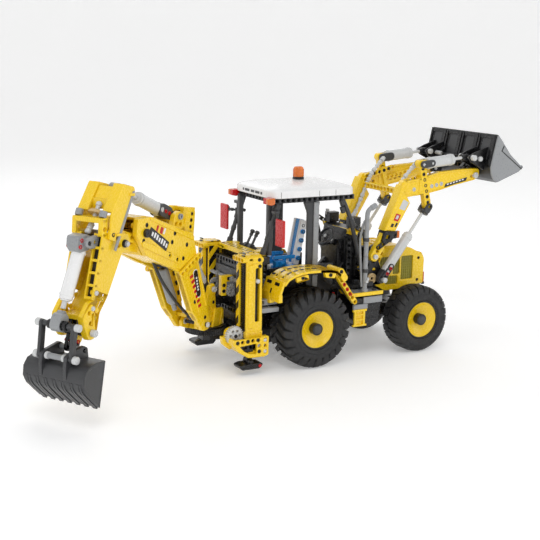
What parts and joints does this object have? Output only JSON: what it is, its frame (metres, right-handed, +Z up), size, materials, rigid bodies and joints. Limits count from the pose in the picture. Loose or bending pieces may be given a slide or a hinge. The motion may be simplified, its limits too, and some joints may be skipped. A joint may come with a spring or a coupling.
{
  "type": "toy backhoe loader",
  "caption": "Toy backhoe loader in building-beam style: steered wheels, loader arms and bucket on cylinders, swinging backhoe boom, stick and bucket, and two rack-driven stabilisers.",
  "frame": {"origin": "on the ground, under the middle of the outline in plan, at the stored pose", "axes": "+X forwards to the loader bucket, +Y to the driver's left, +Z up; the backhoe is at -X, swung 30 degrees to the right"},
  "size_m": [0.7654, 0.2836, 0.302],
  "materials": {
    "yellow_plastic": "satin",
    "black_plastic": "satin",
    "dark_grey_plastic": "satin",
    "light_grey_plastic": "satin",
    "white_plastic": "satin",
    "silver_plastic": "gloss",
    "red_plastic": "satin",
    "blue_plastic": "satin",
    "orange_lens": "gloss",
    "tan_plastic": "satin",
    "olive_mesh": "matte",
    "tyre_rubber": "matte",
    "hose_rubber": "matte"
  },
  "bodies": {
    "chassis": {"chassis_frame": "black_plastic", "rear_axle": "tan_plastic", "front_axle": "black_plastic", "side_tanks": "dark_grey_plastic", "side_steps": "yellow_plastic", "hood": "yellow_plastic", "hood_grilles": "olive_mesh", "cab_frame": "dark_grey_plastic", "roof": "white_plastic", "lamps": "orange_lens", "fenders": "yellow_plastic", "exhaust_pipe": "dark_grey_plastic", "rear_deck": "yellow_plastic", "loader_pedestals": "black_plastic", "stabiliser_towers": "yellow_plastic"},
    "steering_wheel": {"steering_wheel": "light_grey_plastic"},
    "beacon": {"beacon": "orange_lens"},
    "seat": {"seat": "blue_plastic"},
    "levers": {"control_levers": "black_plastic"},
    "loader_arms": {"loader_arms": "yellow_plastic", "loader_arm_covers": "yellow_plastic"},
    "lift_barrels": {"lift_barrels": "light_grey_plastic"},
    "lift_rods": {"lift_rods": "silver_plastic"},
    "tilt_barrels": {"tilt_barrels": "light_grey_plastic"},
    "tilt_rods": {"tilt_rods": "silver_plastic"},
    "loader_bucket": {"loader_bucket": "dark_grey_plastic"},
    "swing_post": {"swing_post": "yellow_plastic", "swing_gear": "black_plastic"},
    "boom": {"boom_frame": "yellow_plastic", "boom_covers": "yellow_plastic", "boom_hose": "hose_rubber"},
    "boom_barrel": {"boom_barrel": "light_grey_plastic"},
    "boom_rod": {"boom_rod": "silver_plastic"},
    "dipper_barrel": {"dipper_barrel": "light_grey_plastic"},
    "dipper_rod": {"dipper_rod": "silver_plastic"},
    "stick": {"stick_frame": "yellow_plastic", "stick_covers": "yellow_plastic"},
    "bucket_barrel": {"bucket_barrel": "white_plastic"},
    "bucket_rod": {"bucket_rod": "white_plastic"},
    "rocker": {"rocker_arms": "black_plastic"},
    "bucket_links": {"bucket_links": "dark_grey_plastic"},
    "backhoe_bucket": {"backhoe_bucket": "dark_grey_plastic"},
    "wheel_rear_left": {"tyre_rear_left": "tyre_rubber", "rim_rear_left": "yellow_plastic"},
    "wheel_front_left": {"tyre_front_left": "tyre_rubber", "rim_front_left": "yellow_plastic"},
    "knuckle_left": {"steering_knuckle_left": "black_plastic"},
    "mirror_left": {"mirror_left": "red_plastic"},
    "stabiliser_leg_left": {"stabiliser_leg_left": "yellow_plastic"},
    "pinion_left": {"pinion_left": "light_grey_plastic"},
    "stabiliser_pad_left": {"stabiliser_pad_left": "black_plastic"},
    "wheel_rear_right": {"tyre_rear_right": "tyre_rubber", "rim_rear_right": "yellow_plastic"},
    "wheel_front_right": {"tyre_front_right": "tyre_rubber", "rim_front_right": "yellow_plastic"},
    "knuckle_right": {"steering_knuckle_right": "black_plastic"},
    "mirror_right": {"mirror_right": "red_plastic"},
    "stabiliser_leg_right": {"stabiliser_leg_right": "yellow_plastic"},
    "pinion_right": {"pinion_right": "light_grey_plastic"},
    "stabiliser_pad_right": {"stabiliser_pad_right": "black_plastic"}
  },
  "joints": [
    {"name": "rear_wheel_left", "type": "hinge", "parent": "chassis", "child": "wheel_rear_left", "pos_m": [0.02774, 0.11583, 0.0535], "axis": [0, 1, 0], "continuous": true},
    {"name": "steering_left", "type": "hinge", "parent": "chassis", "child": "knuckle_left", "pos_m": [0.20275, 0.08983, 0.047], "axis": [0, 0, 1], "range_deg": [-22, 22]},
    {"name": "front_wheel_left", "type": "hinge", "parent": "knuckle_left", "child": "wheel_front_left", "pos_m": [0.20275, 0.11683, 0.047], "axis": [0, 1, 0], "continuous": true},
    {"name": "rear_wheel_right", "type": "hinge", "parent": "chassis", "child": "wheel_rear_right", "pos_m": [0.02774, -0.01616, 0.0535], "axis": [0, 1, 0], "continuous": true},
    {"name": "steering_right", "type": "hinge", "parent": "chassis", "child": "knuckle_right", "pos_m": [0.20275, 0.00983, 0.047], "axis": [0, 0, 1], "range_deg": [-22, 22]},
    {"name": "front_wheel_right", "type": "hinge", "parent": "knuckle_right", "child": "wheel_front_right", "pos_m": [0.20275, -0.01716, 0.047], "axis": [0, 1, 0], "continuous": true},
    {"name": "steering_wheel_turn", "type": "hinge", "parent": "chassis", "child": "steering_wheel", "pos_m": [0.08575, 0.03984, 0.163], "axis": [-0.8251, 0, 0.565], "range_deg": [-70, 70]},
    {"name": "beacon_turn", "type": "hinge", "parent": "chassis", "child": "beacon", "pos_m": [0.04475, 0.04983, 0.25], "axis": [0, 0, 1], "range_deg": [-70, 70]},
    {"name": "seat_swivel", "type": "hinge", "parent": "chassis", "child": "seat", "pos_m": [0.01974, 0.04983, 0.11], "axis": [0, 0, 1], "range_deg": [0, 180]},
    {"name": "lever_tilt", "type": "hinge", "parent": "chassis", "child": "levers", "pos_m": [-0.03225, 0.04983, 0.1565], "axis": [0, 1, 0], "range_deg": [-14, 14]},
    {"name": "mirror_left_fold", "type": "hinge", "parent": "chassis", "child": "mirror_left", "pos_m": [-0.01926, 0.10383, 0.197], "axis": [0, 0, 1], "range_deg": [-25, 40]},
    {"name": "mirror_right_fold", "type": "hinge", "parent": "chassis", "child": "mirror_right", "pos_m": [-0.01926, -0.00417, 0.197], "axis": [0, 0, 1], "range_deg": [-40, 25]},
    {"name": "loader_lift", "type": "hinge", "parent": "chassis", "child": "loader_arms", "pos_m": [0.13975, 0.04983, 0.137], "axis": [0, -1, 0], "range_deg": [-56, 4]},
    {"name": "lift_barrel_swing", "type": "hinge", "parent": "chassis", "child": "lift_barrels", "pos_m": [0.15374, 0.04983, 0.1035], "axis": [0, -1, 0], "range_deg": [-55, 5]},
    {"name": "lift_rod_slide", "type": "slide", "parent": "lift_barrels", "child": "lift_rods", "axis": [0.6058, 0, 0.7956], "range_m": [-0.035, 0.004]},
    {"name": "loader_tilt", "type": "hinge", "parent": "loader_arms", "child": "loader_bucket", "pos_m": [0.31274, 0.04983, 0.2425], "axis": [0, -1, 0], "range_deg": [-46, 22]},
    {"name": "tilt_barrel_swing", "type": "hinge", "parent": "loader_arms", "child": "tilt_barrels", "pos_m": [0.21574, 0.04983, 0.262], "axis": [0, -1, 0], "range_deg": [-2, 4]},
    {"name": "tilt_rod_slide", "type": "slide", "parent": "tilt_barrels", "child": "tilt_rods", "axis": [0.9965, 0, 0.084], "range_m": [-0.0115, 0.0225]},
    {"name": "swing", "type": "hinge", "parent": "chassis", "child": "swing_post", "pos_m": [-0.09426, 0.04983, 0.06], "axis": [0, 0, 1], "range_deg": [-75, 18]},
    {"name": "boom_lift", "type": "hinge", "parent": "swing_post", "child": "boom", "pos_m": [-0.12543, 0.03184, 0.066], "axis": [-0.5, 0.866, 0], "range_deg": [-22, 12]},
    {"name": "boom_barrel_swing", "type": "hinge", "parent": "swing_post", "child": "boom_barrel", "pos_m": [-0.09945, 0.04684, 0.106], "axis": [-0.5, 0.866, 0], "range_deg": [-25, 14]},
    {"name": "boom_rod_slide", "type": "slide", "parent": "boom_barrel", "child": "boom_rod", "axis": [-0.4804, -0.2774, 0.8321], "range_m": [-0.0105, 0.019]},
    {"name": "stick_reach", "type": "hinge", "parent": "boom", "child": "stick", "pos_m": [-0.27266, -0.05316, 0.198], "axis": [-0.5, 0.866, 0], "range_deg": [-20, 20]},
    {"name": "dipper_barrel_swing", "type": "hinge", "parent": "boom", "child": "dipper_barrel", "pos_m": [-0.16873, 0.00683, 0.213], "axis": [-0.5, 0.866, 0], "range_deg": [-3, 3]},
    {"name": "dipper_rod_slide", "type": "slide", "parent": "dipper_barrel", "child": "dipper_rod", "axis": [-0.7941, -0.4585, 0.399], "range_m": [-0.022, 0.022]},
    {"name": "bucket_curl", "type": "hinge", "parent": "stick", "child": "backhoe_bucket", "pos_m": [-0.33328, -0.08816, 0.088], "axis": [-0.5, 0.866, 0], "range_deg": [-40, 20]},
    {"name": "bucket_link_swing", "type": "hinge", "parent": "backhoe_bucket", "child": "bucket_links", "pos_m": [-0.35579, -0.10117, 0.084], "axis": [-0.5, 0.866, 0], "range_deg": [-13, 24]},
    {"name": "rocker_swing", "type": "hinge", "parent": "stick", "child": "rocker", "pos_m": [-0.32722, -0.08467, 0.107], "axis": [-0.5, 0.866, 0], "range_deg": [-34, 18]},
    {"name": "bucket_barrel_swing", "type": "hinge", "parent": "stick", "child": "bucket_barrel", "pos_m": [-0.32635, -0.08417, 0.206], "axis": [-0.5, 0.866, 0], "range_deg": [-2, 2]},
    {"name": "bucket_rod_slide", "type": "slide", "parent": "bucket_barrel", "child": "bucket_rod", "axis": [-0.2739, -0.1581, -0.9487], "range_m": [-0.009, 0.0175]},
    {"name": "stabiliser_left", "type": "slide", "parent": "chassis", "child": "stabiliser_leg_left", "axis": [0, 0, -1], "range_m": [-0.004, 0.026]},
    {"name": "pinion_left_turn", "type": "hinge", "parent": "chassis", "child": "pinion_left", "pos_m": [-0.08425, 0.10483, 0.053], "axis": [0, 1, 0], "range_deg": [-25, 130]},
    {"name": "pad_left_tilt", "type": "hinge", "parent": "stabiliser_leg_left", "child": "stabiliser_pad_left", "pos_m": [-0.06625, 0.11583, 0.0185], "axis": [0, 1, 0], "range_deg": [-12, 12]},
    {"name": "stabiliser_right", "type": "slide", "parent": "chassis", "child": "stabiliser_leg_right", "axis": [0, 0, -1], "range_m": [-0.004, 0.026]},
    {"name": "pinion_right_turn", "type": "hinge", "parent": "chassis", "child": "pinion_right", "pos_m": [-0.08425, -0.00517, 0.053], "axis": [0, 1, 0], "range_deg": [-25, 130]},
    {"name": "pad_right_tilt", "type": "hinge", "parent": "stabiliser_leg_right", "child": "stabiliser_pad_right", "pos_m": [-0.06625, -0.01616, 0.0185], "axis": [0, 1, 0], "range_deg": [-12, 12]}
  ],
  "couplings": [
    {"joint": "steering_left", "follows": "steering_right", "ratio": 1},
    {"joint": "steering_wheel_turn", "follows": "steering_right", "ratio": 3},
    {"joint": "beacon_turn", "follows": "steering_right", "ratio": 3},
    {"joint": "lift_barrel_swing", "follows": "loader_lift", "ratio": 0.96},
    {"joint": "lift_rod_slide", "follows": "loader_lift", "m_per_rad": 0.03461},
    {"joint": "tilt_barrel_swing", "follows": "loader_tilt", "ratio": -0.07},
    {"joint": "tilt_rod_slide", "follows": "loader_tilt", "m_per_rad": -0.0275},
    {"joint": "boom_barrel_swing", "follows": "boom_lift", "ratio": 1.12},
    {"joint": "boom_rod_slide", "follows": "boom_lift", "m_per_rad": -0.04761},
    {"joint": "dipper_barrel_swing", "follows": "stick_reach", "ratio": 0.1},
    {"joint": "dipper_rod_slide", "follows": "stick_reach", "m_per_rad": -0.06073},
    {"joint": "bucket_link_swing", "follows": "bucket_curl", "ratio": -0.57},
    {"joint": "rocker_swing", "follows": "bucket_curl", "ratio": 0.81},
    {"joint": "bucket_barrel_swing", "follows": "bucket_curl", "ratio": -0.02},
    {"joint": "bucket_rod_slide", "follows": "bucket_curl", "m_per_rad": -0.02395},
    {"joint": "pinion_left_turn", "follows": "stabiliser_left", "rad_per_m": 83.333},
    {"joint": "pinion_right_turn", "follows": "stabiliser_right", "rad_per_m": 83.333}
  ]
}
